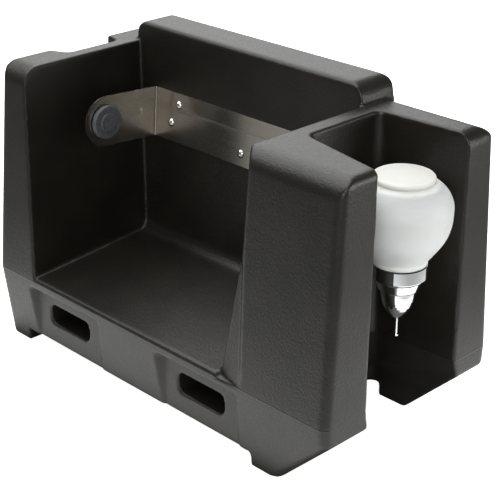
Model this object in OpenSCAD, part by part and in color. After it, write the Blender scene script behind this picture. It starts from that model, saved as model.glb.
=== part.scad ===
// Hand-wash caddy with a towel-roll bay, a stainless roll strap and a push-up
// globe soap dispenser. Millimetres. +X right, +Y back, +Z up, standing on z = 0.

/* [Body] */
// Width of the moulded body
body_w = 502; // [486:1:525]
// Depth of the body at the parting line
body_d = 243; // [237:1:253]
// Height of the side walls
wall_h = 319; // [305:1:328]
// Height of the raised back wall
back_h = 340.5; // [335:0.5:358]
// Height of the parting line round the body
part_z = 84; // [80:1:92]
// Lean of the front faces above the parting line, degrees
front_lean = 5.1; // [3:0.1:6]
// Lean of the back face above the parting line, degrees
back_lean = 2.2; // [1:0.1:3]
// Draft of the two side faces above the parting line, degrees
side_draft = 1.1; // [0.5:0.1:1.5]
// Inward taper of the base below the parting line, degrees
base_taper = 4.6; // [2:0.1:6]
// Radius of the front vertical corners
front_corner_r = 9; // [6:0.5:14]
// Radius of the back vertical corners
back_corner_r = 10; // [6:0.5:20]
// Radius of the front shoulders of both side walls
shoulder_r = 22; // [12:1:30]
// Radius of the long top edges
top_edge_r = 8; // [3:0.5:10]
// Radius of the right top edge of the back arm
arm_edge_r = 15; // [3:0.5:16]
// Radius of the back top edges of both side walls
back_edge_r = 22; // [8:1:24]
// Radius of the raised wall's back vertical corners
raise_edge_r = 5; // [3:1:14]
// Radius of the raised wall's left top corner
raise_left_r = 13; // [8:1:20]
// Radius of the raised wall's right top corner
raise_corner_r = 19; // [10:1:20]

/* [Base] */
// Height of the underside above the feet's soles
sole_gap = 15; // [10:1:20]
// Width of the left feet
foot_left_w = 35; // [28:1:48]
// Width of the right feet
foot_right_w = 35; // [26:1:40]
// Depth of each foot
foot_d = 36; // [26:1:40]
// Height of the right end's vertical band above its undercut
band_h = 19.5; // [12:0.5:28]
// Run of the undercut below the right end
undercut_run = 67; // [50:1:74]
// Width of each hand slot
slot_w = 68; // [60:1:80]
// Height of each hand slot
slot_h = 22.5; // [20:0.5:28]
// Depth of each hand slot
slot_depth = 34; // [20:1:38]
// Distance from the left end to the first slot
slot_1_x = 83.5; // [80:0.5:98]
// Distance from the left end to the second slot
slot_2_x = 294.5; // [290:0.5:308]
// Distance from the parting line down to the slots
slot_drop = 24; // [18:0.5:26]
// Distance from each panel's left edge to its slot
panel_lead = 19; // [14:0.5:34]
// Width of each sunken panel
panel_w = 110; // [104:1:118]
// Depth of a panel at its top left corner
panel_deep = 8; // [5:0.1:9]
// Depth of a panel at its top right corner
panel_shallow = 7; // [5:0.1:8]
// Depth of a panel's left edge at the underside
panel_foot = 2; // [1:0.1:3]
// Width of the slope at a panel's left edge, at the top
panel_slope = 9; // [6:0.5:14]
// Distance from the parting line down to the panels
panel_drop = 9; // [6:0.5:12]

/* [Towel bay] */
// Thickness of the left wall at the bay floor
left_wall_t = 66; // [58:1:70]
// Width of the towel bay at its floor
bay_w = 292.5; // [286:0.5:298]
// Height of the bay floor's front edge above the parting line
floor_step = 4; // [3:0.5:5]
// Rise of the bay floor from front to back, degrees
floor_rise = 4.2; // [1:0.1:5]
// Distance from the front of the parting line to the back wall at the floor
bay_depth = 165; // [158:1:170]
// Draft of the left wall inside the bay, degrees
bay_draft_left = 5.4; // [3:0.1:6]
// Draft of the pillar inside the bay, degrees
bay_draft_right = 3.8; // [2:0.1:4.5]
// Lean of the bay's back wall, degrees
bay_lean = 4.4; // [3:0.1:5]
// Radius between the bay floor and the back wall
floor_fillet_r = 15; // [8:1:20]
// Width of the grip scoop in the left wall's outer edge
scoop_w = 80; // [50:1:84]
// Distance from the front to the grip scoop
scoop_y = 88; // [80:1:92]
// Length of the scoop's slanted front end
scoop_ramp = 8; // [4:1:14]
// Depth of the grip scoop at the top
scoop_deep = 22; // [10:1:24]
// Height of the grip scoop
scoop_h = 90; // [60:1:110]

/* [Soap bay] */
// Thickness of the pillar between the two bays at the parting line
pillar_t = 42.5; // [40:0.5:48]
// Draft of the pillar's soap side, degrees
soap_draft = 1.9; // [1:0.1:3]
// Thickness of the front arm beside the pillar
front_arm_t = 78; // [72:1:80]
// Width of the soap bay beside the pillar
soap_w = 104; // [101:1:106]
// Outward slant of the front arm's inner face, degrees
arm_slant = 11.9; // [6:0.1:13]
// Outward slant of the back arm's inner face, degrees
back_slant = 3.6; // [0:0.1:5]
// Lean of the front arm's inner face, degrees
arm_lean = 2; // [0.5:0.1:2.5]
// Lean of the back arm's inner face, degrees
soap_lean = 1.6; // [0.5:0.1:2]
// Radius of the soap bay's inner corners
soap_corner_r = 10; // [6:1:14]
// Widening of the soap bay below the parting line
soap_flare = 14; // [8:1:18]
// Height over which the soap bay widens
flare_h = 51; // [40:1:56]

/* [Strap] */
// Height of the strap's middle line above the soles
strap_z = 244; // [232:1:256]
// Height of the strap's sheet
strap_h = 57; // [48:1:64]
// Thickness of the strap's sheet
strap_t = 1.5; // [1:0.1:2]
// Inner radius of the strap's bends
strap_bend_r = 2; // [1.5:0.1:3]
// Space from the bay's left wall to the left arm's inner face
strap_left_gap = 24.8; // [22:0.1:30]
// Space from the right arm's inner face to the pillar
strap_right_gap = 9; // [8:0.1:14]
// Reach of the arms from the back wall to their tips
arm_reach = 103; // [94:1:112]
// Length of the flanges from the back wall
flange_len = 50; // [44:1:56]
// Length of the lapped plate on each arm
arm_plate_len = 79; // [74:1:84]
// Radius of each lapped plate's inner end
lap_r = 41; // [30:1:60]
// Distance from the arms' tips to the plugs' axis
plug_in = 26.8; // [25:0.1:30]
// Diameter of the roll plugs
plug_d = 38; // [34:0.5:40]
// Thickness of the roll plugs at their rim
plug_t = 5; // [5:0.5:8]
// Radius of the roll plugs' rim
plug_rim_r = 2; // [2:0.5:4]
// Diameter of the raised middle of each plug
boss_d = 22; // [18:1:26]
// Height of the raised middle
boss_t = 1.5; // [1.5:0.5:4]
// Diameter of the plugs' shoulder rivets
pivot_d = 8; // [6:0.5:10]
// Thickness of the washers behind the plugs
washer_t = 0.8; // [0.6:0.1:1.2]
// Diameter of the strap rivets' shanks
rivet_d = 4; // [3.2:0.1:4.8]
// Diameter of the strap rivets' heads
rivet_head_d = 9.5; // [7:0.5:11]
// Height of the strap rivets' heads
rivet_head_h = 2.8; // [1.5:0.1:4]
// Depth of the strap rivets in the back wall
rivet_deep = 12; // [10:1:20]

/* [Dispenser] */
// Distance from the pillar to the dispenser's axis at the collar
globe_reach = 71.7; // [68:0.1:76]
// Distance from the middle of the soap bay back to the dispenser's axis
globe_back = 6; // [3:0.5:8]
// Height of the collar's top above the soles
collar_z = 199; // [190:1:202]
// Outer radius of the collar
collar_r = 27; // [24:0.5:28]
// Height of the collar
collar_h = 12.4; // [10:0.2:16]
// Width of the bracket's plate on the pillar
bracket_w = 40; // [36:1:46]
// Reach of the bracket's plate above the collar's top
bracket_up = 10; // [8:1:14]
// Reach of the bracket's plate below the collar's top
bracket_down = 28; // [26:1:34]
// Width of the bracket's arm
bracket_arm_w = 16; // [12:1:22]
// Outer radius of the globe's neck
neck_r = 20; // [18:0.5:21]
// Depth of the neck below the collar's top
neck_len = 18; // [15:0.5:18.4]
// Wall thickness of the globe
globe_wall = 2; // [1.5:0.1:2.5]
// Largest radius of the globe
globe_r = 47.6; // [46:0.2:49]
// Height of the globe above its gasket
globe_h = 82.6; // [80:0.1:92]
// Radius of the lid
lid_r = 29.8; // [26:0.2:31]
// Height of the lid's rim
lid_rim = 4.8; // [3.5:0.1:6]
// Radius of the lid's top edge
lid_edge = 3; // [1:0.5:3.5]
// Height of the lid's crown above its rim
lid_crown = 1.5; // [1:0.1:3]
// Depth of the lid's skirt inside the globe
lid_skirt = 7; // [5:0.5:9]
// Thickness of the neck gasket
gasket_t = 1.2; // [0.8:0.1:2]
// Length of the valve's upper cone
cone_h = 15.3; // [13:0.1:18]
// Length of the valve's rounded nose
nose_h = 31.8; // [27:0.1:33]
// Radius of the valve's nose
nose_r = 16.8; // [15:0.1:17.5]
// Radius of the push rod
rod_r = 1.3; // [1.1:0.05:1.6]
// Length of the push rod below the nose
rod_out = 18; // [14:0.5:22]
// Stroke of the push rod
rod_stroke = 8; // [5:0.5:9]
// Turns of the return spring
spring_turns = 5; // [4:1:7]

/* [Fits] */
// Gap between a fixed piece and its seat
seat_gap = 0.2; // [0.1:0.05:0.3]
// Gap between pieces that move past each other
move_gap = 0.3; // [0.3:0.05:0.4]
// Radial clearance of a turning or sliding fit
run_gap = 0.05; // [0.03:0.01:0.08]

/* [Hidden] */
$fn = 48;

// Faces of the body at height z
function y_front(z) = abs(z - part_z) * tan(z > part_z ? front_lean : base_taper);
function y_back(z) = body_d - abs(z - part_z) * tan(z > part_z ? back_lean : base_taper);
function x_left(z) = abs(z - part_z) * tan(z > part_z ? side_draft : base_taper);
function x_right(z) = body_w - (z - part_z) * tan(side_draft);
floor_z = part_z + floor_step;
bay_x1 = left_wall_t + bay_w;
function x_bay_left(z) = left_wall_t - (z - floor_z) * tan(bay_draft_left);
function x_bay_right(z) = bay_x1 + (z - floor_z) * tan(bay_draft_right);
function y_bay_back(z) = bay_depth + (z - floor_z) * tan(bay_lean);
floor_end = bay_depth / (1 - tan(floor_rise) * tan(bay_lean));
soap_x = bay_x1 + pillar_t;
function x_soap(z) = soap_x - (z - part_z) * tan(soap_draft);
function y_soap_front(x, z) = front_arm_t - (x - soap_x) * tan(arm_slant)
  + (z - part_z) * tan(arm_lean);
function y_soap_back(x, z) = front_arm_t + soap_w + (x - soap_x) * tan(back_slant)
  + (z - part_z) * tan(soap_lean);
raise_left = x_bay_left(wall_h) - 6;
raise_right = x_bay_right(back_h);
band_z = part_z - band_h;
undercut_x = body_w - undercut_run;
undercut_a = atan2(band_z, undercut_run);
foot_right_x = undercut_x - foot_right_w;
big = 40;

// Strap
arm_left_x = x_bay_left(strap_z) + strap_left_gap;
arm_right_x = x_bay_right(strap_z) - strap_right_gap;
strap_mid_x = (arm_left_x + arm_right_x) / 2;
arm_end_r = strap_h / 2;
plug_y = arm_reach - plug_in;
rivets = [[-115.5, -7.5], [-103.8, 15], [-3, -15], [103.8, 15], [115.5, -7.5]];
// Dispenser
globe_y = front_arm_t + soap_w / 2 + globe_back;
globe_x = soap_x + globe_reach - (collar_z - part_z) * tan(soap_draft);
gasket_z = collar_z + seat_gap;
globe_z = gasket_z + gasket_t;
rim_z = globe_z + globe_h;
rim_r = lid_r - 1.5;
collar_low = collar_z - collar_h;
nose_z = collar_low - cone_h;
tip_z = nose_z - nose_h;
cone_r = nose_r + 3.4;
chamber_r = nose_r - 3;
seal_z = tip_z + 9;
seal_t = 3;
head_t = 3;
guide_t = 1.5;
guide_r = neck_r - 3;
neck_low = collar_z - neck_len;
guide_z = neck_low - move_gap - guide_t;
spring_r = 4.2;
spring_wire = 0.6;
insert_r = 4;
insert_len = 14;
screw_r = 2.4;
screw_side = bracket_w / 2 - 7;
screw_at = [[-screw_side, 0], [screw_side, 0], [0, 8 - bracket_down]];

function unit(v) = v / norm(v);
function at(p, i) = p[(i + len(p)) % len(p)];
function half_turn(a, b, c) = acos(unit(a - b) * unit(c - b)) / 2;
function corner_in(p, i, r) = r == 0 ? [at(p, i)] : [
  at(p, i) + unit(at(p, i - 1) - at(p, i)) * r / tan(half_turn(at(p, i - 1), at(p, i), at(p, i + 1))),
  at(p, i) + unit(at(p, i + 1) - at(p, i)) * r / tan(half_turn(at(p, i - 1), at(p, i), at(p, i + 1)))
];
function corner_mid(p, i, r) = at(p, i)
  + unit(unit(at(p, i - 1) - at(p, i)) + unit(at(p, i + 1) - at(p, i)))
  * r / sin(half_turn(at(p, i - 1), at(p, i), at(p, i + 1)));
function turns_left(p, i) = cross(at(p, i) - at(p, i - 1), at(p, i + 1) - at(p, i)) > 0;

// A polygon, drawn anticlockwise, with its own radius at each corner
module rounded(p, r) {
  difference() {
    union() {
      polygon([for (i = [0:len(p) - 1]) each corner_in(p, i, r[i])]);
      for (i = [0:len(p) - 1]) if (r[i] > 0 && turns_left(p, i))
        translate(corner_mid(p, i, r[i])) circle(r[i]);
    }
    for (i = [0:len(p) - 1]) if (r[i] > 0 && !turns_left(p, i))
      translate(corner_mid(p, i, r[i])) circle(r[i]);
  }
}

// Outlines seen from the right (y, z) and from the front (x, z)
module from_side(x0, x1) translate([x0, 0, 0]) rotate([90, 0, 90])
  linear_extrude(x1 - x0) children();
module from_front(y0, y1) translate([0, y1, 0]) rotate([90, 0, 0])
  linear_extrude(y1 - y0) children();

// Cutter that rounds the edge where two faces meet; n1, n2 point into the body
module edge_round(p, n1, n2, r, down, up) {
  d0 = unit(cross(n1, n2));
  d = d0.z < 0 ? -d0 : d0;
  e = cross(d, n1);
  m = [n1 * n2, e * n2];
  c = (r / (1 + n1 * n2)) * ([1, 0] + m);
  multmatrix([[n1.x, e.x, d.x, p.x], [n1.y, e.y, d.y, p.y], [n1.z, e.z, d.z, p.z], [0, 0, 0, 1]])
    translate([0, 0, -down]) linear_extrude(down + up) difference() {
      polygon([c, c - [r, 0], c - [r + 8, 0], c - 2 * r * ([1, 0] + m), c - (r + 8) * m, c - r * m]);
      translate(c) circle(r + 0.02);
    }
}

// Inward normals of the outer faces
n_front = [0, cos(front_lean), -sin(front_lean)];
n_back = [0, -cos(back_lean), -sin(back_lean)];
n_left = [cos(side_draft), 0, -sin(side_draft)];
n_right = [-cos(side_draft), 0, -sin(side_draft)];
b_front = [0, cos(base_taper), sin(base_taper)];
b_back = [0, -cos(base_taper), sin(base_taper)];
b_left = [cos(base_taper), 0, sin(base_taper)];
b_under = [-sin(undercut_a), 0, cos(undercut_a)];
raise_a = atan(1.5 / (back_h - wall_h));
r_right = [-cos(raise_a), 0, -sin(raise_a)];
r_left = [cos(raise_a), 0, -sin(raise_a)];

module outer_block() {
  intersection() {
    from_side(-1, body_w + 1) rounded(
      [[y_front(0), 0], [y_back(0), 0], [body_d, part_z], [y_back(back_h), back_h],
       [y_bay_back(back_h), back_h], [y_bay_back(wall_h), wall_h],
       [y_front(wall_h), wall_h], [0, part_z]],
      [0, 0, 0, top_edge_r, top_edge_r - 2, 0, shoulder_r, 0]);
    from_front(-1, body_d + 1) rounded(
      [[x_left(0), 0], [undercut_x, 0], [body_w, band_z], [body_w, part_z], [x_right(wall_h), wall_h],
       [raise_right, wall_h], [raise_right - 1.5, back_h], [raise_left + 1.5, back_h],
       [raise_left, wall_h], [x_left(wall_h), wall_h], [0, part_z]],
      [0, 0, 0, 0, 0, 0, raise_corner_r, raise_left_r, 0, 0, 0]);
  }
}

module corner_cuts() {
  tall = wall_h - part_z + 30;
  edge_round([0, 0, part_z], n_left, n_front, front_corner_r, 1, tall);
  edge_round([body_w, 0, part_z], n_right, n_front, front_corner_r, 1, tall);
  edge_round([0, body_d, part_z], n_left, n_back, back_corner_r, 1, tall);
  edge_round([body_w, body_d, part_z], n_right, n_back, back_corner_r, 1, tall);
  edge_round([0, 0, part_z], b_left, b_front, front_corner_r, part_z + 5, 1);
  edge_round([0, body_d, part_z], b_left, b_back, back_corner_r, part_z + 5, 1);
  edge_round([body_w, 0, part_z], [-1, 0, 0], b_front, front_corner_r, band_h + 6, 1);
  edge_round([body_w, body_d, part_z], [-1, 0, 0], b_back, back_corner_r, band_h + 6, 1);
  edge_round([x_right(wall_h), 0, wall_h], n_right, [0, 0, -1], top_edge_r, front_arm_t, 10);
  edge_round([x_right(wall_h), body_d, wall_h], n_right, [0, 0, -1], arm_edge_r, 10,
    body_d - front_arm_t - soap_w);
  edge_round([0, y_back(wall_h), wall_h], n_back, [0, 0, -1], back_edge_r, 5, raise_left + 4.9);
  edge_round([body_w, y_back(wall_h), wall_h], n_back, [0, 0, -1], back_edge_r, body_w - raise_right, 5);
  edge_round([raise_right, y_back(wall_h), wall_h], r_right, n_back, raise_edge_r, 0.4, 40);
  edge_round([raise_left, y_back(wall_h), wall_h], r_left, n_back, raise_edge_r, 0.4, 40);
  edge_round([body_w, y_front(band_z), band_z], b_under, b_front, front_corner_r, 110, 10);
  edge_round([body_w, y_back(band_z), band_z], b_under, b_back, back_corner_r, 110, 10);
}

module towel_bay() {
  intersection() {
    from_front(-big, y_bay_back(back_h) + big) polygon(
      [[x_bay_left(part_z - 20), part_z - 20], [x_bay_right(part_z - 20), part_z - 20],
       [x_bay_right(back_h + big), back_h + big], [x_bay_left(back_h + big), back_h + big]]);
    from_side(-1, body_w) rounded(
      [[-big, part_z], [0, part_z], [0, floor_z], [floor_end, floor_z + floor_end * tan(floor_rise)],
       [y_bay_back(back_h + big), back_h + big], [-big, back_h + big]],
      [0, 0, floor_step - 0.3, floor_fillet_r, 0, 0]);
  }
}

// Outline of the soap bay at height z, open to the right; below the parting line
// the bay is wider and its two arms are square
y_flare_back = y_soap_back(soap_x, part_z) + soap_flare + 1;
y_flare_front = front_arm_t - 22;
function soap_ring(z, wide = false, r = soap_corner_r, n = 8) =
  let (x0 = x_soap(z) - (wide ? soap_flare : 0), xe = body_w + big,
    a = wide ? 0 : arm_slant, b = wide ? 0 : back_slant,
    f = wide ? [y_flare_front, y_flare_front] : [y_soap_front(x0 + r, z), y_soap_front(xe, z)],
    k = wide ? [y_flare_back, y_flare_back] : [y_soap_back(x0 + r, z), y_soap_back(xe, z)])
  concat([[xe, f[1], z], [xe, k[1], z]],
    [for (i = [0:n]) let (t = 90 + b + (90 - b) * i / n)
      [x0 + r + r * cos(t), k[0] - r / cos(b) + r * sin(t), z]],
    [for (i = [0:n]) let (t = 180 + (90 - a) * i / n)
      [x0 + r + r * cos(t), f[0] + r / cos(a) + r * sin(t), z]]);

module soap_bay() {
  rings = [soap_ring(back_h + big), soap_ring(part_z), soap_ring(part_z - flare_h, true),
    [for (q = soap_ring(part_z - flare_h, true)) [q.x, q.y, -2]]];
  n = len(rings[0]);
  polyhedron([for (q = rings) each q],
    concat([[for (j = [n - 1:-1:0]) j]], [[for (j = [0:n - 1]) 3 * n + j]],
      [for (i = [0:2]) for (j = [0:n - 1]) let (c = i * n + j, d = i * n + (j + 1) % n)
        each [[c, d, d + n], [c, d + n, c + n]]]));
}

// The pillar's twisted front chamfer: broad and flat low down, square higher up.
// Each row: height, depth along the bay's side, width along the front.
cham = [
  [part_z, 7, 33.5],
  [part_z + 0.56 * (wall_h - part_z), 17.5, 18],
  [wall_h + 1, 12, 10.5]
];
// A little more than the chamfer, so that its edges cross both faces
function cham_ring(z, side, front, e = 0.015) = [
  [x_bay_right(z) - e * front, y_front(z) + (1 + e) * side, z],
  [x_bay_right(z) - e * front, y_front(z) - big, z],
  [x_bay_right(z) + (1 + e) * front, y_front(z) - big, z],
  [x_bay_right(z) + (1 + e) * front, y_front(z) - e * side, z]];
module pillar_chamfer() polyhedron(
  [for (c = cham) each cham_ring(c[0], c[1], c[2])],
  concat([[0, 1, 2, 3]], [[11, 10, 9, 8]],
    [for (i = [0, 1]) for (j = [0:3]) let (a = i * 4 + j, b = i * 4 + (j + 1) % 4)
      each [[a, a + 4, b + 4], [a, b + 4, b]]]));

// Grip scoop in the outer top edge of the left wall, with slanted ends
module grip_scoop() {
  xt = x_left(wall_h) + scoop_deep;
  a = atan((scoop_deep + scoop_h * tan(side_draft)) / scoop_h);
  translate([xt, 0, wall_h]) rotate([0, a, 0]) translate([0, 0, -1.3 * scoop_h])
    linear_extrude(1.3 * scoop_h + 20) rounded(
      [[-big, scoop_y - 1.5 * scoop_ramp], [0, scoop_y + scoop_ramp], [0, scoop_y + scoop_w - 6],
       [-big, scoop_y + scoop_w + 4]], [0, 8, 6, 0]);
}

// Local frames on the leaning faces of the base; y runs into the body
module on_base_front() translate([0, 0, part_z]) rotate([base_taper, 0, 0]) children();
module on_base_back() translate([0, body_d, part_z]) rotate([-base_taper, 0, 0]) children();

module hand_slot(x, into) {
  r = 8;
  z1 = -slot_drop;
  z0 = z1 - slot_h;
  translate([0, into > 0 ? slot_depth : 5, 0]) rotate([90, 0, 0]) linear_extrude(slot_depth + 5) rounded(
    [[x, z0], [x + slot_w, z0], [x + slot_w, z1], [x, z1]], [r, r, r, r]);
}

// Sunken panel: it stands steeper than the base's face, so it fades out downwards
module sunken_panel(x) {
  fall = atan((panel_deep - panel_foot) / (part_z - sole_gap - panel_drop));
  out = 12;
  run = panel_slope * (1 + out / panel_deep);
  translate([x, 0, -panel_drop]) rotate([-fall, 0, 0]) translate([0, 0, -part_z])
    linear_extrude(part_z)
      polygon([[-run, -out], [panel_w, -out], [panel_w, panel_shallow], [0, panel_deep]]);
}

module under_cut() {
  difference() {
    translate([-1, -1, -5]) cube([body_w + 2, body_d + 2, sole_gap + 5]);
    for (y = [-2, y_back(0) - foot_d])
      translate([-2, y, -6]) cube([x_left(0) + foot_left_w + 2, foot_d + y_front(0) + 2, 30]);
    translate([foot_right_x, -2, -6]) cube([body_w, y_flare_front + 2, 30]);
    translate([foot_right_x, y_flare_back, -6]) cube([body_w, body_d, 30]);
  }
}

module on_wall() translate([0, y_bay_back(strap_z), strap_z]) rotate([-bay_lean, 0, 0]) children();
module on_pillar() translate([x_soap(collar_z), globe_y, collar_z])
  rotate([0, -soap_draft, 0]) children();

module body() color("#2b2b2b") difference() {
  outer_block();
  corner_cuts();
  towel_bay();
  soap_bay();
  pillar_chamfer();
  grip_scoop();
  under_cut();
  on_base_front() {
    for (x = [slot_1_x, slot_2_x]) {
      hand_slot(x, 1);
      sunken_panel(x - panel_lead);
    }
  }
  on_base_back() for (x = [slot_1_x, slot_2_x]) hand_slot(x, -1);
  on_wall() for (q = rivets) translate([strap_mid_x + q[0], 1, q[1]]) rotate([-90, 0, 0])
    translate([0, 0, -2]) cylinder(d = rivet_d + 0.2, h = rivet_deep + 3);
  on_pillar() for (q = screw_at) translate([-insert_len - 1, q[0], q[1]]) rotate([0, 90, 0])
    cylinder(r = insert_r + 0.02, h = insert_len + 3);
}

module strap_back_plate() color("#b9b6ae") on_wall() difference() {
  x0 = arm_left_x + strap_bend_r + move_gap;
  translate([x0, -strap_t - seat_gap, -strap_h / 2])
    cube([arm_right_x - strap_bend_r - move_gap - x0, strap_t, strap_h]);
  for (q = rivets) translate([strap_mid_x + q[0], 5, q[1]]) rotate([90, 0, 0])
    cylinder(d = rivet_d + 0.2, h = 12);
}

// One bend and its flange; side is +1 with the arm on the left, -1 on the right
module flange(x, side) on_wall() translate([x, -seat_gap, -strap_h / 2]) {
  ro = strap_bend_r + strap_t;
  linear_extrude(strap_h) union() {
    intersection() {
      translate([side * strap_bend_r, -ro]) difference() {
        circle(ro);
        circle(strap_bend_r);
      }
      translate([side > 0 ? -strap_t : -strap_bend_r, -ro]) square([ro, ro]);
    }
    translate([side > 0 ? -strap_t : 0, -flange_len + seat_gap])
      square([strap_t, flange_len - seat_gap - ro]);
  }
}
module strap_left_flange() color("#bdbab2") flange(arm_left_x, 1);
module strap_right_flange() color("#bdbab2") flange(arm_right_x, -1);

module arm_plate(x) on_wall() difference() {
  translate([x, 0, 0]) rotate([90, 0, 90]) linear_extrude(strap_t) union() {
    translate([-arm_reach + arm_end_r, 0]) circle(arm_end_r);
    intersection() {
      translate([-arm_reach + arm_end_r, -arm_end_r]) square([arm_plate_len - arm_end_r, strap_h]);
      translate([-arm_reach + arm_plate_len - lap_r, 0]) circle(lap_r);
    }
  }
  translate([x - 5, -plug_y, 0]) rotate([0, 90, 0]) cylinder(r = pivot_d / 2 + 0.02, h = 12);
}
module left_arm_plate() color("#c4c1ba") arm_plate(arm_left_x);
module right_arm_plate() color("#c4c1ba") arm_plate(arm_right_x - strap_t);

module strap_rivets() color("#d8d6d0") on_wall() for (q = rivets)
  translate([strap_mid_x + q[0], -strap_t - seat_gap, q[1]]) rotate([-90, 0, 0]) {
    cylinder(d = rivet_d, h = rivet_deep);
    head_r = (rivet_head_d * rivet_head_d / 4 + rivet_head_h * rivet_head_h) / (2 * rivet_head_h);
    intersection() {
      translate([0, 0, head_r - rivet_head_h]) sphere(head_r);
      translate([-10, -10, -5]) cube([20, 20, 5]);
    }
  }

// Roll plug, turned about its own axis; z = 0 is its face against the washer.
// Its bore is blind, with a groove that snaps over the bead on the shoulder rivet.
bead_r = pivot_d / 2 + 0.4;
bead_z = plug_t - 1.5;
bead_h = 1.2;
module plug_shape() difference() {
  r = plug_d / 2;
  rotate_extrude() difference() {
    union() {
      rounded([[0, 0], [r, 0], [r, plug_t], [0, plug_t]], [0, 0, plug_rim_r, 0]);
      rounded([[0, 1], [boss_d / 2, 1], [boss_d / 2, plug_t + boss_t], [0, plug_t + boss_t]],
        [0, 0, 1.5, 0]);
    }
    translate([0, -1]) square([pivot_d / 2 + run_gap, bead_z + bead_h + move_gap + 1]);
    translate([0, bead_z - move_gap]) square([bead_r + run_gap, bead_h + 2 * move_gap]);
  }
}
// Shoulder rivet; z = 0 is the arm plate's inner face
module plug_rivet_shape() {
  z = washer_t + move_gap + bead_z;
  translate([0, 0, -strap_t - 1.2]) cylinder(d = pivot_d * 1.5, h = 1.2);
  translate([0, 0, -strap_t - 0.5]) cylinder(d = pivot_d, h = strap_t + 0.5 + z + 0.1);
  translate([0, 0, z]) cylinder(r = bead_r, h = bead_h);
}
module on_left_arm() on_wall() translate([arm_left_x + strap_t, -plug_y, 0])
  rotate([0, 90, 0]) children();
module on_right_arm() on_wall() translate([arm_right_x - strap_t, -plug_y, 0])
  rotate([0, -90, 0]) children();
module left_plug() color("#5a5e62") on_left_arm() translate([0, 0, washer_t + move_gap]) plug_shape();
module right_plug() color("#5a5e62") on_right_arm() translate([0, 0, washer_t + move_gap]) plug_shape();
module left_plug_rivet() color("#a9a9a9") on_left_arm() plug_rivet_shape();
module right_plug_rivet() color("#a9a9a9") on_right_arm() plug_rivet_shape();
module washer_shape() difference() {
  cylinder(d = pivot_d * 2, h = washer_t);
  translate([0, 0, -1]) cylinder(r = pivot_d / 2 + 0.02, h = washer_t + 2);
}
module left_plug_washer() color("#8c8c8c") on_left_arm() washer_shape();
module right_plug_washer() color("#8c8c8c") on_right_arm() washer_shape();

module bracket_plate(t0, t1) on_pillar() translate([t0, 0, 0]) rotate([90, 0, 90])
  linear_extrude(t1 - t0) rounded(
    [[-bracket_w / 2, -bracket_down], [bracket_w / 2, -bracket_down],
     [bracket_w / 2, bracket_up], [-bracket_w / 2, bracket_up]], [6, 6, 6, 6]);

module dispenser_bracket() color("#d5d7da") difference() {
  union() {
    bracket_plate(seat_gap, 3.2);
    translate([globe_x, globe_y, collar_low]) cylinder(r = collar_r, h = collar_h);
    translate([x_soap(collar_z) + 2.6, globe_y - bracket_arm_w / 2, collar_low + 1])
      cube([globe_x - x_soap(collar_z) - 10, bracket_arm_w, collar_h - 2]);
  }
  translate([globe_x, globe_y, collar_low - 1]) cylinder(r = neck_r + 0.3, h = collar_h + 2);
  on_pillar() for (q = screw_at) translate([-5, q[0], q[1]]) rotate([0, 90, 0])
    cylinder(r = screw_r + 0.2, h = 20);
}

module bracket_screws() color("#c9c9c9") on_pillar() for (q = screw_at)
  translate([0, q[0], q[1]]) rotate([0, 90, 0]) {
    translate([0, 0, -insert_len + 3]) cylinder(r = screw_r, h = insert_len + 0.5);
    translate([0, 0, 3.2]) cylinder(r = screw_r * 1.8, h = 2.2);
  }

module bracket_inserts() color("#b08d3c") on_pillar() for (q = screw_at)
  translate([-insert_len, q[0], q[1]]) rotate([0, 90, 0]) difference() {
    cylinder(r = insert_r, h = insert_len);
    translate([0, 0, 2]) cylinder(r = screw_r + 0.05, h = insert_len);
  }

// Smooth curve through the points of a list, n steps to each span
function bend_at(a, b, c, d, t) = 0.5 * (2 * b + (c - a) * t + (2 * a - 5 * b + 4 * c - d) * t * t
  + (3 * b - a - 3 * c + d) * t * t * t);
function smooth(p, n) = [for (i = [0:len(p) - 2]) for (j = [0:n - 1])
  bend_at(p[max(i - 1, 0)], p[i], p[i + 1], p[min(i + 2, len(p) - 1)], j / n), p[len(p) - 1]];

// Globe outline: radius and height as shares of the globe, from neck flange to rim
function globe_side(out) = smooth([
  [collar_r - 0.5 - out, globe_z + 4], [globe_r * 0.68 - out, globe_z + globe_h * 0.14],
  [globe_r * 0.88 - out, globe_z + globe_h * 0.31], [globe_r * 0.973 - out, globe_z + globe_h * 0.46],
  [globe_r - out, globe_z + globe_h * 0.6], [globe_r * 0.99 - out, globe_z + globe_h * 0.74],
  [globe_r * 0.865 - out, globe_z + globe_h * 0.88], [lid_r - 0.6 - out, rim_z]], 5);
module globe() color("#eceae2") translate([globe_x, globe_y, 0]) rotate_extrude($fn = 64) difference() {
  polygon(concat([[0, neck_low], [neck_r, neck_low], [neck_r, globe_z], [collar_r - 0.5, globe_z]],
    globe_side(0), [[0, rim_z]]));
  polygon(concat([[0, neck_low - 1], [neck_r - 2.5, neck_low - 1], [neck_r - 2.5, globe_z + 3]],
    [for (q = globe_side(globe_wall)) if (q[1] > globe_z + 5 && q[1] < rim_z - 5 && q[0] > rim_r - 2) q],
    [[rim_r - 2, rim_z - 5], [rim_r - 2, rim_z + 1], [0, rim_z + 1]]));
}

module globe_lid() color("#f4f3ee") translate([globe_x, globe_y, 0]) rotate_extrude($fn = 64) {
  z0 = rim_z + move_gap;
  rs = rim_r - 2 - move_gap;
  polygon([[0, z0], [rs - 2, z0], [rs - 2, z0 - lid_skirt], [rs, z0 - lid_skirt], [rs, z0],
    [lid_r, z0],
    each [for (a = [0:18:90]) [lid_r - lid_edge * (1 - cos(a)), z0 + lid_rim - lid_edge * (1 - sin(a))]],
    each [for (i = [1:8]) let (k = 1 - i / 8)
      [(lid_r - lid_edge) * k, z0 + lid_rim + lid_crown * (1 - k * k)]]]);
}

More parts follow.
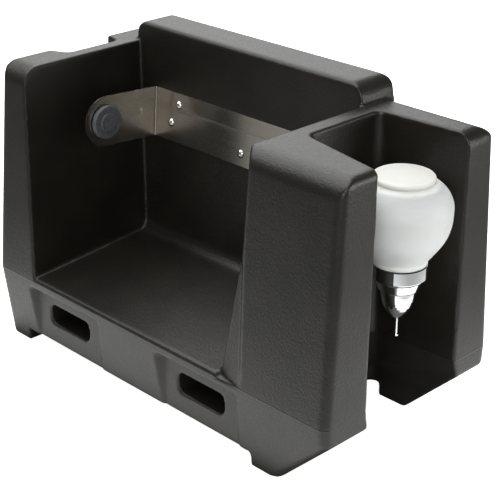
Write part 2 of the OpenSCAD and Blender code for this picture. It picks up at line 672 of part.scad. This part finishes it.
module neck_gasket() color("#3a3a3a") translate([globe_x, globe_y, gasket_z]) difference() {
  cylinder(r = collar_r - 1, h = gasket_t);
  translate([0, 0, -1]) cylinder(r = neck_r + 0.3, h = gasket_t + 2);
}

module valve_housing() color("#dfe1e4") translate([globe_x, globe_y, 0]) rotate_extrude() difference() {
  z1 = collar_low;
  polygon(concat([[0, z1], [collar_r - 0.5, z1], [collar_r - 1, z1 - 1.2],
    [collar_r - 3.5, z1 - cone_h * 0.24], [collar_r - 5, z1 - cone_h * 0.5],
    [cone_r, nose_z + 2.6], [nose_r + 2, nose_z + 1], [nose_r, nose_z]],
    [for (i = [1:10]) let (h = i / 10)
      [nose_r + (rod_r + 0.7 - nose_r) * pow(h, 2.5), nose_z - nose_h * h]], [[0, tip_z]]));
  polygon([[0, z1 + 1], [neck_r + 0.3, z1 + 1], [neck_r + 0.3, neck_low - 0.3],
    [guide_r + 0.1, neck_low - 0.3],
    [guide_r + 0.1, guide_z], [chamber_r, guide_z], [chamber_r, nose_z - 3],
    [chamber_r - 5, seal_z], [rod_r + run_gap, seal_z], [rod_r + run_gap, tip_z - 1], [0, tip_z - 1]]);
}

module valve_seal() color("#444444") translate([globe_x, globe_y, seal_z]) difference() {
  cylinder(r = chamber_r - 5.2, h = seal_t);
  translate([0, 0, -1]) cylinder(r = rod_r + run_gap, h = seal_t + 2);
}

head_z = seal_z + seal_t + move_gap;
rod_top = guide_z + guide_t + 3;
module push_rod() color("#cfd2d6") translate([globe_x, globe_y, 0]) {
  translate([0, 0, tip_z - rod_out]) cylinder(r = rod_r, h = rod_top - tip_z + rod_out);
  translate([0, 0, tip_z - rod_out]) cylinder(r = rod_r + 1.2, h = 1.5);
}
module valve_head() color("#3d3d3d") translate([globe_x, globe_y, head_z]) difference() {
  cylinder(r = spring_r + 1.2, h = head_t);
  translate([0, 0, -1]) cylinder(r = rod_r, h = head_t + 2);
}
module spring_guide() color("#c2c5c9") translate([globe_x, globe_y, guide_z]) difference() {
  cylinder(r = guide_r, h = guide_t);
  translate([0, 0, -1]) cylinder(r = rod_r + run_gap, h = guide_t + 2);
  for (i = [0:5]) rotate(i * 60) translate([8, 0, -1]) cylinder(r = 2, h = guide_t + 2);
}

// Compression spring: one closed tube along a helix
spring_z0 = head_z + head_t + spring_wire + 0.1;
spring_z1 = guide_z - spring_wire - 0.1;
module return_spring() color("#9aa0a6") translate([globe_x, globe_y, 0]) {
  n = spring_turns * 16;
  s = 6;
  pitch_a = atan2((spring_z1 - spring_z0) / spring_turns, 2 * PI * spring_r);
  pts = [for (i = [0:n]) let (a = i * 360 / 16, z = spring_z0 + (spring_z1 - spring_z0) * i / n)
    for (j = [0:s - 1]) let (b = j * 360 / s, u = spring_wire * cos(b), v = spring_wire * sin(b))
      [(spring_r + u) * cos(a) + v * sin(pitch_a) * sin(a),
       (spring_r + u) * sin(a) - v * sin(pitch_a) * cos(a), z + v * cos(pitch_a)]];
  sides = [for (i = [0:n - 1]) for (j = [0:s - 1]) let (k = (j + 1) % s)
    each [[i * s + j, (i + 1) * s + k, i * s + k], [i * s + j, (i + 1) * s + j, (i + 1) * s + k]]];
  polyhedron(pts, concat(sides, [[for (j = [0:s - 1]) j]], [[for (j = [s - 1:-1:0]) n * s + j]]));
}

// The origin is the middle of the footprint's bounding box, on the floor
reach_x = max(body_w, globe_x + globe_r);
module place() translate([-reach_x / 2, -body_d / 2, 0]) children();

place() body();
place() strap_back_plate();
place() strap_left_flange();
place() strap_right_flange();
place() left_arm_plate();
place() right_arm_plate();
place() strap_rivets();
place() left_plug();
place() right_plug();
place() left_plug_rivet();
place() right_plug_rivet();
place() left_plug_washer();
place() right_plug_washer();
place() dispenser_bracket();
place() bracket_screws();
place() bracket_inserts();
place() globe();
place() globe_lid();
place() neck_gasket();
place() valve_housing();
place() valve_seal();
place() push_rod();
place() valve_head();
place() return_spring();
place() spring_guide();
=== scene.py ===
# %% [markdown]
# # A hand-wash caddy in black moulded plastic
# The real object is one hollow piece of black polyethylene with two bays: a wide
# one for a roll of paper towels, hung on a stainless strap, and a narrow one for
# a push-up globe soap dispenser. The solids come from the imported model, in
# metres, and already sit where they belong. This lesson gives them their soft
# moulded edges and their finishes, and builds the studio around them.

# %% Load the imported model
import math

import bpy
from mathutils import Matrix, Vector


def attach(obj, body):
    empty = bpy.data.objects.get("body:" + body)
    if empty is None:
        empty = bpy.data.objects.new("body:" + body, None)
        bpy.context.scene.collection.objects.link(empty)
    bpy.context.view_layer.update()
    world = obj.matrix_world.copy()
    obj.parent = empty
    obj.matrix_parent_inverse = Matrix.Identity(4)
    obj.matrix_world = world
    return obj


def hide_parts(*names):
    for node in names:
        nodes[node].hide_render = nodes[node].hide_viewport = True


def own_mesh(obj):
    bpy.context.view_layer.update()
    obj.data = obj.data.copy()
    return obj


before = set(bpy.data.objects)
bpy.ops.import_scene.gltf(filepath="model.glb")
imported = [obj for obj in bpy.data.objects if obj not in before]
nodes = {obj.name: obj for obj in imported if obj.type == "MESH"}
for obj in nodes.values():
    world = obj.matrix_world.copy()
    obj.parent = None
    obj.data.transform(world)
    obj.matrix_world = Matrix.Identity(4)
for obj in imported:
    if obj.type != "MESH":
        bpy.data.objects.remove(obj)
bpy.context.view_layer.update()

# %% [markdown]
# ## The camera
# The camera comes first, because every later choice is judged through it. It
# stands to the right and in front of the caddy, above it, and looks down at
# about 24 degrees, with a long lens, as product photographs are made. A long
# lens keeps the walls nearly parallel. Its place was worked out from the
# caddy's own edges, so the render can be laid over the photograph.

# %% Place the camera
camera = bpy.data.objects.new("camera", bpy.data.cameras.new("camera"))
bpy.context.scene.collection.objects.link(camera)
camera.location = (0.9357, -0.8985, 0.7438)
camera.rotation_euler = (math.radians(65.51), 0, math.radians(45.51))
camera.data.sensor_width = 36
camera.data.lens = 98.76
bpy.context.scene.camera = camera
bpy.context.scene.view_settings.view_transform = "Standard"
print("camera is", round(camera.location.length, 3), "m from the origin")

# %% [markdown]
# ## Three small helpers
# Colours are easiest to read as the hex values of a colour picker, but Blender
# mixes light in linear numbers, so one function converts them. A second adds a
# shader node with its settings, its values and its links in one call. A third
# starts a material and returns its tree and its main shader.

# %% Colour and node helpers
def paint(hex_value):
    """An sRGB hex colour as linear RGBA."""
    parts = [int(hex_value[i:i + 2], 16) / 255 for i in (1, 3, 5)]
    return [p / 12.92 if p <= 0.04045 else ((p + 0.055) / 1.055) ** 2.4 for p in parts] + [1]


def add_node(tree, kind, values=None, links=None, **settings):
    """One shader node with its settings, socket values and incoming links."""
    node = tree.nodes.new(kind)
    for name, value in settings.items():
        setattr(node, name, value)
    for socket, value in (values or {}).items():
        node.inputs[socket].default_value = value
    for socket, source in (links or {}).items():
        tree.links.new(source, node.inputs[socket])
    return node


def start_material(name, **values):
    """A material with its Principled shader set; returns material, tree, shader."""
    material = bpy.data.materials.new(name)
    material.use_nodes = True
    shader = material.node_tree.nodes["Principled BSDF"]
    for socket, value in values.items():
        shader.inputs[socket.replace("_", " ")].default_value = value
    return material, material.node_tree, shader


MM = 0.001
print("middle grey #808080 in linear numbers:", [round(v, 4) for v in paint("#808080")])

# %% [markdown]
# ## Rotationally moulded polyethylene
# The body is tumbled in a hot steel mould, and its skin copies the mould's
# fine blasted grain. That gives the eye a deep black with a wide, soft shine:
# the shine breaks into a pebble grain, slower waves come from the plastic
# shrinking off the mould, and a thin seam runs round it where the two halves
# of the mould met. The grain is about 1 mm on the real skin; it is drawn at
# 1.6 and 2.2 mm, because a pixel of this picture is about 1 mm.

# %% Black moulded polyethylene
body_black, tree, shader = start_material(
    "rotomoulded_black_polyethylene", Metallic=0.0, IOR=1.51, Specular_IOR_Level=0.38)
where = add_node(tree, "ShaderNodeTexCoord")
grain = add_node(tree, "ShaderNodeTexNoise",
                 {"Scale": 1 / (1.6 * MM), "Detail": 3, "Roughness": 0.6},
                 {"Vector": where.outputs["Object"]})
pebble = add_node(tree, "ShaderNodeTexVoronoi", {"Scale": 1 / (2.2 * MM)},
                  {"Vector": where.outputs["Object"]}, feature="SMOOTH_F1")
waves = add_node(tree, "ShaderNodeTexNoise", {"Scale": 1 / (45 * MM), "Detail": 2},
                 {"Vector": where.outputs["Object"]})
tone = add_node(tree, "ShaderNodeValToRGB", None, {"Fac": waves.outputs["Fac"]})
tone.color_ramp.elements[0].position, tone.color_ramp.elements[1].position = 0.35, 0.7
tone.color_ramp.elements[0].color = paint("#13120e")
tone.color_ramp.elements[1].color = paint("#1b1914")
tree.links.new(tone.outputs["Color"], shader.inputs["Base Color"])
shine = add_node(tree, "ShaderNodeMapRange",
                 {"From Min": 0.3, "From Max": 0.7, "To Min": 0.32, "To Max": 0.46},
                 {"Value": grain.outputs["Fac"]})
tree.links.new(shine.outputs["Result"], shader.inputs["Roughness"])
print("material", body_black.name)

# %% [markdown]
# The seam is a low ridge at one height, the parting line, 84 mm above the
# floor. It is drawn as a bump that depends on the height alone. Three bumps
# stack here: slow waves, then the grain, then the seam.

# %% Grain, waves and mould seam as bumps
seam_height = 84 * MM
height = add_node(tree, "ShaderNodeSeparateXYZ", None, {0: where.outputs["Object"]})
from_seam = add_node(tree, "ShaderNodeMath", {1: seam_height}, {0: height.outputs["Z"]},
                     operation="SUBTRACT")
distance = add_node(tree, "ShaderNodeMath", None, {0: from_seam.outputs[0]}, operation="ABSOLUTE")
ridge = add_node(tree, "ShaderNodeMapRange",
                 {"From Min": 0.2 * MM, "From Max": 1.1 * MM, "To Min": 1.0, "To Max": 0.0},
                 {"Value": distance.outputs[0]}, interpolation_type="SMOOTHSTEP")
slow_bump = add_node(tree, "ShaderNodeBump", {"Strength": 0.5, "Distance": 0.9 * MM},
                     {"Height": waves.outputs["Fac"]})
mixed_grain = add_node(tree, "ShaderNodeMath", None,
                       {0: grain.outputs["Fac"], 1: pebble.outputs["Distance"]}, operation="ADD")
grain_bump = add_node(tree, "ShaderNodeBump", {"Strength": 0.9, "Distance": 0.2 * MM},
                      {"Height": mixed_grain.outputs[0], "Normal": slow_bump.outputs["Normal"]})
seam_bump = add_node(tree, "ShaderNodeBump", {"Strength": 0.6, "Distance": 0.35 * MM},
                     {"Height": ridge.outputs["Result"], "Normal": grain_bump.outputs["Normal"]})
tree.links.new(seam_bump.outputs["Normal"], shader.inputs["Normal"])
print("the mould seam runs round at", round(seam_height / MM), "mm")

# %% [markdown]
# ## Soft moulded edges
# Hot plastic can't fill a sharp corner, so no edge of the real body is sharper
# than a few millimetres. A bevel would fail on the many faces of the solid.
# Instead the solid is rebuilt as an even skin of small squares, and the skin is
# then relaxed: flat faces stay, and every edge and inner corner grows a radius.
# Both are modifiers, so the solid below keeps its own mesh.

# %% Round every edge of the body
body = nodes["body"]
skin = body.modifiers.new("even skin", "REMESH")
skin.mode, skin.voxel_size, skin.use_smooth_shade = "VOXEL", 1.7 * MM, True
radii = body.modifiers.new("moulded radii", "SMOOTH")
radii.factor, radii.iterations = 0.5, 7
body.data.materials.clear()
body.data.materials.append(body_black)
fine = body.evaluated_get(bpy.context.evaluated_depsgraph_get())
print("body skin has", len(fine.data.polygons), "faces")

# %% [markdown]
# ## Brushed stainless steel
# The strap is cut from sheet that was brushed along its length. The scratches
# run level, so they smear every reflection up and down, and the strap shows
# upright light and dark bands. Real scratches are about 0.1 mm wide; here they
# are 0.7 mm, the finest that this picture can show.

# %% Brushed stainless
steel_brushed, tree, shader = start_material("brushed_stainless_sheet", Metallic=1.0)
where = add_node(tree, "ShaderNodeTexCoord")
along = add_node(tree, "ShaderNodeMapping", {"Scale": (9, 9, 1 / (0.7 * MM))},
                 {"Vector": where.outputs["Object"]})
scratches = add_node(tree, "ShaderNodeTexNoise", {"Scale": 1.0, "Detail": 4, "Roughness": 0.6},
                     {"Vector": along.outputs["Vector"]})
steel_tone = add_node(tree, "ShaderNodeValToRGB", None, {"Fac": scratches.outputs["Fac"]})
steel_tone.color_ramp.elements[0].position, steel_tone.color_ramp.elements[1].position = 0.3, 0.75
steel_tone.color_ramp.elements[0].color = paint("#aaa59c")
steel_tone.color_ramp.elements[1].color = paint("#b4afa6")
tree.links.new(steel_tone.outputs["Color"], shader.inputs["Base Color"])
steel_shine = add_node(tree, "ShaderNodeMapRange",
                       {"From Min": 0.3, "From Max": 0.7, "To Min": 0.20, "To Max": 0.26},
                       {"Value": scratches.outputs["Fac"]})
tree.links.new(steel_shine.outputs["Result"], shader.inputs["Roughness"])
brush_bump = add_node(tree, "ShaderNodeBump", {"Strength": 0.12, "Distance": 0.01 * MM},
                      {"Height": scratches.outputs["Fac"]})
tree.links.new(brush_bump.outputs["Normal"], shader.inputs["Normal"])
level = add_node(tree, "ShaderNodeTangent", direction_type="RADIAL", axis="Z")
tree.links.new(level.outputs["Tangent"], shader.inputs["Tangent"])
shader.inputs["Anisotropic"].default_value = 0.75
shader.inputs["Anisotropic Rotation"].default_value = 0.25
print("material", steel_brushed.name)

# %% [markdown]
# ## Small metal parts
# The rivets and screws are pressed stainless with bright round heads. The valve
# and its bracket are chrome plated: almost a mirror, with the faint ripple that
# plating leaves. The return spring is drawn wire, and the threaded inserts are
# turned brass. A low bump of a few hundredths of a millimetre gives the ripple.

# %% Pressed stainless, chrome, spring steel and brass
def metal(name, colour, low, high, ripple_mm, depth_mm):
    """A bare metal whose roughness runs from low to high over a fine ripple."""
    material, tree, shader = start_material(name, Metallic=1.0)
    shader.inputs["Base Color"].default_value = paint(colour)
    where = add_node(tree, "ShaderNodeTexCoord")
    ripple = add_node(tree, "ShaderNodeTexNoise", {"Scale": 1 / (ripple_mm * MM), "Detail": 2},
                      {"Vector": where.outputs["Object"]})
    spread = add_node(tree, "ShaderNodeMapRange",
                      {"From Min": 0.3, "From Max": 0.7, "To Min": low, "To Max": high},
                      {"Value": ripple.outputs["Fac"]})
    tree.links.new(spread.outputs["Result"], shader.inputs["Roughness"])
    bump = add_node(tree, "ShaderNodeBump", {"Strength": 0.4, "Distance": depth_mm * MM},
                    {"Height": ripple.outputs["Fac"]})
    tree.links.new(bump.outputs["Normal"], shader.inputs["Normal"])
    print("material", name)
    return material


steel_pressed = metal("pressed_stainless_rivet", "#cfccc5", 0.14, 0.24, 1.2, 0.03)
chrome = metal("plated_chrome", "#e6e7e8", 0.03, 0.07, 14, 0.05)
steel_drawn = metal("drawn_spring_steel", "#b9bbbd", 0.18, 0.28, 0.8, 0.02)
brass = metal("turned_brass", "#c2a05a", 0.22, 0.34, 0.9, 0.03)

# %% [markdown]
# ## White blown polyethylene
# The globe and its lid are milky plastic: light goes in, scatters and comes
# out again, so they glow softly and show no hard shadow. Subsurface scattering gives
# that, with a radius of about 15 mm, under a satin skin with the slight
# waves of a blown bottle. The lid's white is greyed as painted shade, to tone
# down the strong light that falls on its top.

# %% Milky white plastic
def milky(name, colour, rough):
    """A white, light-scattering plastic with a slightly wavy satin skin."""
    material, tree, shader = start_material(
        name, Metallic=0.0, IOR=1.51, Roughness=rough, Subsurface_Weight=0.9,
        Subsurface_Scale=0.015)
    shader.inputs["Base Color"].default_value = paint(colour)
    shader.inputs["Subsurface Radius"].default_value = (1.0, 0.95, 0.85)
    where = add_node(tree, "ShaderNodeTexCoord")
    wave = add_node(tree, "ShaderNodeTexNoise", {"Scale": 1 / (22 * MM), "Detail": 1},
                    {"Vector": where.outputs["Object"]})
    bump = add_node(tree, "ShaderNodeBump", {"Strength": 0.3, "Distance": 0.5 * MM},
                    {"Height": wave.outputs["Fac"]})
    tree.links.new(bump.outputs["Normal"], shader.inputs["Normal"])
    print("material", name)
    return material


globe_white = milky("blown_white_polyethylene", "#f8f8e6", 0.5)
# The lid's white is greyed well below the globe's: painted shade, which tones down the strong
# light on the lid's top.
lid_with_painted_shade = milky("white_lid_with_painted_shade", "#cacac4", 0.45)

# %% [markdown]
# ## Grey plugs and black rubber
# The plugs that hold the roll are grey moulded nylon with a fine grain. Gaskets
# and seals are soft black rubber, dull and slightly dusty. One function makes
# both, from a colour, its lighter speckle and a grain.

# %% Moulded nylon and rubber
def moulded(name, dark, pale, low, high, grain_mm, depth_mm):
    """A dull moulded plastic or rubber: two tones and a bump from one fine grain."""
    material, tree, shader = start_material(name, Metallic=0.0, IOR=1.53)
    where = add_node(tree, "ShaderNodeTexCoord")
    grain = add_node(tree, "ShaderNodeTexNoise", {"Scale": 1 / (grain_mm * MM), "Detail": 4},
                     {"Vector": where.outputs["Object"]})
    tone = add_node(tree, "ShaderNodeValToRGB", None, {"Fac": grain.outputs["Fac"]})
    tone.color_ramp.elements[0].position, tone.color_ramp.elements[1].position = 0.35, 0.75
    tone.color_ramp.elements[0].color = paint(dark)
    tone.color_ramp.elements[1].color = paint(pale)
    tree.links.new(tone.outputs["Color"], shader.inputs["Base Color"])
    spread = add_node(tree, "ShaderNodeMapRange",
                      {"From Min": 0.3, "From Max": 0.7, "To Min": low, "To Max": high},
                      {"Value": grain.outputs["Fac"]})
    tree.links.new(spread.outputs["Result"], shader.inputs["Roughness"])
    bump = add_node(tree, "ShaderNodeBump", {"Strength": 0.5, "Distance": depth_mm * MM},
                    {"Height": grain.outputs["Fac"]})
    tree.links.new(bump.outputs["Normal"], shader.inputs["Normal"])
    print("material", name)
    return material


nylon_grey = moulded("moulded_grey_nylon", "#434649", "#5f6366", 0.35, 0.5, 2.4, 0.1)
rubber_black = moulded("moulded_black_rubber", "#1d1d1d", "#2c2c2c", 0.6, 0.8, 1.5, 0.08)

# %% [markdown]
# ## Every other node gets its finish
# The small solids already have their real shape. Each gets the material that
# its real piece is made of. The strap's sheet and the bracket also get a fine
# bevel, because even a cut edge is a little broken, and catches the light as a
# thin line.

# %% Dress the small pieces
finishes = {
    steel_brushed: ["strap_back_plate", "strap_left_flange", "strap_right_flange",
                    "left_arm_plate", "right_arm_plate", "left_plug_washer", "right_plug_washer"],
    steel_pressed: ["strap_rivets", "left_plug_rivet", "right_plug_rivet", "bracket_screws"],
    nylon_grey: ["left_plug", "right_plug"],
    chrome: ["dispenser_bracket", "valve_housing", "push_rod"],
    brass: ["bracket_inserts"],
    globe_white: ["globe"],
    lid_with_painted_shade: ["globe_lid"],
    rubber_black: ["neck_gasket", "valve_seal", "valve_head"],
    steel_drawn: ["return_spring", "spring_guide"],
}
# Widths of the broken edges, in millimetres
broken_edge = {"strap_back_plate": 0.35, "strap_left_flange": 0.35, "strap_right_flange": 0.35,
               "left_arm_plate": 0.6, "right_arm_plate": 0.6, "dispenser_bracket": 0.5}
for material, names in finishes.items():
    for name in names:
        nodes[name].data.materials.clear()
        nodes[name].data.materials.append(material)
        if name in broken_edge:
            bevel = nodes[name].modifiers.new("broken edge", "BEVEL")
            bevel.width, bevel.segments = broken_edge[name] * MM, 2
            bevel.limit_method, bevel.angle_limit = "ANGLE", math.radians(40)
            bevel.harden_normals = True
print("dressed", sum(len(names) for names in finishes.values()) + 1, "of", len(nodes))

# %% [markdown]
# ## A copy of the return spring
# Pushing the rod lifts the valve head 8 mm, and the real spring above it gets
# that much shorter. The imported solid can't change its length, so the head would
# cut into it. A copy of its mesh, with mesh data of its own, stands for it on
# the caddy, and the imported spring is hidden.

# %% Copy the return spring
spring = bpy.data.objects.new("squeezed_return_spring", nodes["return_spring"].data.copy())
bpy.context.scene.collection.objects.link(spring)
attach(spring, "caddy")
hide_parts("return_spring")
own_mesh(spring)

# %% [markdown]
# ## The studio
# The photograph has a pure white ground. To the camera the floor is a matt
# white sheet that also glows, so it reads as white. To the caddy it is a grey
# table with a lit ring round the caddy's foot, as on a light table: the black
# plastic mirrors that ring, and this is what makes the base paler than the
# walls above it.

# %% White sheet for the camera
WHITE = paint("#ffffff")


def camera_sees(tree):
    """1 for rays straight from the camera or through something clear, else 0."""
    ray = add_node(tree, "ShaderNodeLightPath")
    seen = add_node(tree, "ShaderNodeMath", None,
                    {0: ray.outputs["Is Camera Ray"], 1: ray.outputs["Is Transmission Ray"]},
                    operation="MAXIMUM")
    return seen.outputs[0]


bpy.ops.mesh.primitive_plane_add(size=14)
floor = bpy.context.object
floor.name = "studio_floor"
paper = bpy.data.materials.new("matt_white_paper")
floor.data.materials.append(paper)
paper.use_nodes = True
tree = paper.node_tree
tree.nodes.clear()
matt = add_node(tree, "ShaderNodeBsdfDiffuse", {"Color": paint("#e4e4e4")})
glow = add_node(tree, "ShaderNodeEmission", {"Color": WHITE, "Strength": 0.9})
sheet = add_node(tree, "ShaderNodeAddShader", None, {0: matt.outputs[0], 1: glow.outputs[0]})
print("floor", floor.name)

# %% [markdown]
# The strength of the ring depends only on how far a point of the floor is from
# the caddy's footprint. It rises over the first 3 cm, so that no hard line
# shows in the plastic, and is gone 40 cm away.

# %% Grey table with a lit ring for the caddy
footprint = (0.25, 0.115, 0)  # about half the caddy's length and depth, in metres
full_at, gone_at = 0.03, 0.40
ring_strength = 1.55
where = add_node(tree, "ShaderNodeTexCoord")
sides = add_node(tree, "ShaderNodeVectorMath", None, {0: where.outputs["Object"]},
                 operation="ABSOLUTE")
past = add_node(tree, "ShaderNodeVectorMath", {1: footprint}, {0: sides.outputs["Vector"]},
                operation="SUBTRACT")
only = add_node(tree, "ShaderNodeVectorMath", {1: (0, 0, 0)}, {0: past.outputs["Vector"]},
                operation="MAXIMUM")
away = add_node(tree, "ShaderNodeVectorMath", None, {0: only.outputs["Vector"]},
                operation="LENGTH")
rise = add_node(tree, "ShaderNodeMapRange",
                {"From Min": 0.0, "From Max": full_at, "To Min": 0.0, "To Max": ring_strength},
                {"Value": away.outputs["Value"]}, interpolation_type="SMOOTHSTEP")
fall = add_node(tree, "ShaderNodeMapRange",
                {"From Min": full_at, "From Max": gone_at, "To Min": 1.0, "To Max": 0.0},
                {"Value": away.outputs["Value"]}, interpolation_type="SMOOTHSTEP")
ring = add_node(tree, "ShaderNodeMath", None,
                {0: rise.outputs["Result"], 1: fall.outputs["Result"]}, operation="MULTIPLY")
grey = add_node(tree, "ShaderNodeBsdfDiffuse", {"Color": paint("#a8a8a8")})
lit = add_node(tree, "ShaderNodeEmission", {"Color": WHITE}, {"Strength": ring.outputs[0]})
table = add_node(tree, "ShaderNodeAddShader", None, {0: grey.outputs[0], 1: lit.outputs[0]})
pick = add_node(tree, "ShaderNodeMixShader", None,
                {0: camera_sees(tree), 1: table.outputs[0], 2: sheet.outputs[0]})
add_node(tree, "ShaderNodeOutputMaterial", None, {"Surface": pick.outputs[0]})
print("the ring reaches", gone_at, "m from the caddy")

# %% [markdown]
# The world has two brightnesses too: white where the camera sees it, and a
# faint even light for everything else.

# %% The world's two brightnesses
world = bpy.data.worlds.new("white_room")
bpy.context.scene.world = world
world.use_nodes = True
tree = world.node_tree
tree.nodes.clear()
soft = add_node(tree, "ShaderNodeBackground", {"Color": WHITE, "Strength": 0.18})
bright = add_node(tree, "ShaderNodeBackground", {"Color": WHITE, "Strength": 1.0})
pick = add_node(tree, "ShaderNodeMixShader", None,
                {0: camera_sees(tree), 1: soft.outputs[0], 2: bright.outputs[0]})
add_node(tree, "ShaderNodeOutputWorld", None, {"Surface": pick.outputs[0]})
print("world", world.name)

# %% [markdown]
# Four soft boxes light the caddy. The largest hangs above and to the left, and
# makes the shine along the rounded front edges. The one behind at the left is
# mirrored by the flat tops, the low one at the right by the right ends, and a
# weak one beside the camera opens the shadows.

# %% Soft boxes
def soft_box(name, place, look_at, size, watts):
    """A square area lamp that faces a point."""
    lamp = bpy.data.objects.new(name, bpy.data.lights.new(name, "AREA"))
    bpy.context.scene.collection.objects.link(lamp)
    lamp.data.shape, lamp.data.size, lamp.data.energy = "SQUARE", size, watts
    lamp.location = place
    lamp.rotation_euler = (Vector(look_at) - Vector(place)).to_track_quat("-Z", "Y").to_euler()
    print(name, watts, "W")


soft_box("ceiling_box", (-0.60, -0.10, 1.7), (0, 0, 0.1), 2.0, 44)
soft_box("back_box", (-1.5, 1.5, 1.35), (0, 0, 0.3), 1.5, 16)
soft_box("right_box", (1.7, 1.0, 0.3), (0.2, 0, 0.1), 0.8, 19)
soft_box("camera_box", (1.4, -1.6, 1.1), (0, 0, 0.2), 1.0, 15)

# %% [markdown]
# The globe stands in a dark bay, and in the photograph it is still nearly
# white. A narrow spot lamp, aimed at the globe alone, gives it that.

# %% Spot lamp on the globe
globe_middle = Vector((0.21, 0.015, 0.235))
spot = bpy.data.objects.new("globe_spot", bpy.data.lights.new("globe_spot", "SPOT"))
bpy.context.scene.collection.objects.link(spot)
spot.data.energy, spot.data.spot_size, spot.data.spot_blend = 44, math.radians(12), 0.6
spot.data.shadow_soft_size = 0.12
spot.location = (1.4, -1.15, 0.95)
spot.rotation_euler = (globe_middle - spot.location).to_track_quat("-Z", "Y").to_euler()
print(spot.name, spot.data.energy, "W")
